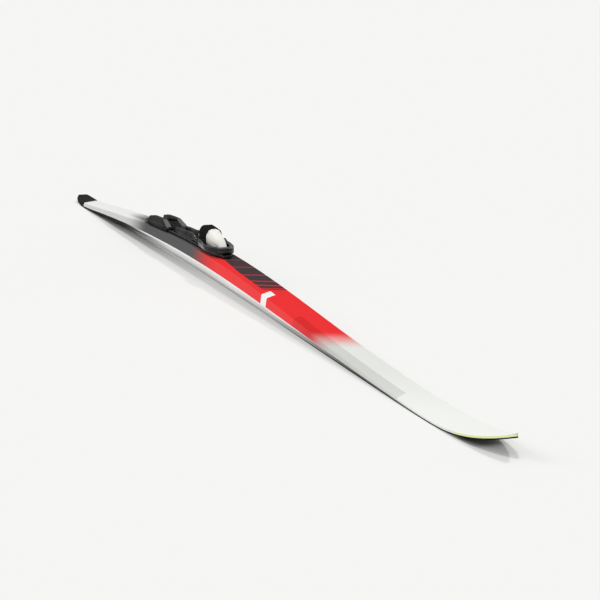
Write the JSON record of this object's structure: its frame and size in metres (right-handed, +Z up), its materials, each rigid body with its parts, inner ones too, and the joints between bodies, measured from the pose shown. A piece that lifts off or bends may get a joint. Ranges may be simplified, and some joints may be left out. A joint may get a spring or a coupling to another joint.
{
  "type": "cross-country ski with binding",
  "caption": "Narrow laminated cross-country ski with an upturned tip and a plate-mounted boot binding: toe latch with lever, guide rails and sliding heel unit.",
  "frame": {"origin": "on the ground plane under the middle of the ski's length and width", "axes": "+X towards the upturned tip, +Y to the left of a skier facing the tip, +Z up from the ground"},
  "size_m": [2, 0.0454, 0.0786],
  "materials": {
    "core_foam": "sealed foam and wood core",
    "running_base": "sintered polyethylene",
    "sidewall": "satin plastic strip",
    "top_film": "printed gloss film",
    "tip_moulding": "moulded plastic",
    "tail_moulding": "moulded plastic",
    "plate": "fine-grained moulded plastic",
    "screw_steel": "zinc-plated",
    "rail": "fine-grained moulded plastic",
    "housing": "glass-filled plastic",
    "flexor_rubber": "ribbed elastomer",
    "cap": "satin moulded plastic",
    "pin_steel": "bright",
    "spring_steel": "oiled spring steel",
    "jaw_steel": "tumbled stainless",
    "lever": "fine-grained moulded plastic",
    "grip": "ribbed insert",
    "heel": "fine-grained moulded plastic",
    "heel_pad": "soft pad",
    "clamp": "moulded plastic"
  },
  "bodies": {
    "ski": {"core": "core_foam", "base": "running_base", "sidewall_left": "sidewall", "sidewall_right": "sidewall", "top_sheet": "top_film", "tip_piece": "tip_moulding", "tail_protector": "tail_moulding", "binding_plate": "plate", "plate_screws": "screw_steel", "guide_rails": "rail", "guide_screws": "screw_steel", "toe_housing": "housing", "toe_screws": "screw_steel", "flexor": "flexor_rubber", "toe_cap": "cap", "cap_pin": "pin_steel", "jaw_spring": "spring_steel"},
    "lever": {"lever": "lever", "lever_shaft": "pin_steel", "lever_grip": "grip"},
    "jaw": {"jaw": "jaw_steel"},
    "heel": {"heel_housing": "heel", "heel_pad": "heel_pad", "clamp_pin": "pin_steel"},
    "clamp": {"clamp_lever": "clamp"}
  },
  "joints": [
    {"name": "lever_lift", "type": "hinge", "parent": "ski", "child": "lever", "pos_m": [-0.01994, 0, 0.0554], "axis": [0, -1, 0], "range_deg": [0, 55]},
    {"name": "jaw_slide", "type": "slide", "parent": "ski", "child": "jaw", "axis": [1, 0, -0.0084], "range_m": [0, 0.00344], "deforming": ["jaw_spring"]},
    {"name": "heel_slide", "type": "slide", "parent": "ski", "child": "heel", "axis": [0.9996, 0, 0.0288], "range_m": [-0.015, 0.015]},
    {"name": "clamp_lift", "type": "hinge", "parent": "heel", "child": "clamp", "pos_m": [-0.25321, 0, 0.05293], "axis": [0, -1, 0], "range_deg": [0, 70]}
  ],
  "couplings": [
    {"joint": "jaw_slide", "follows": "lever_lift", "m_per_rad": 0.0035836}
  ]
}
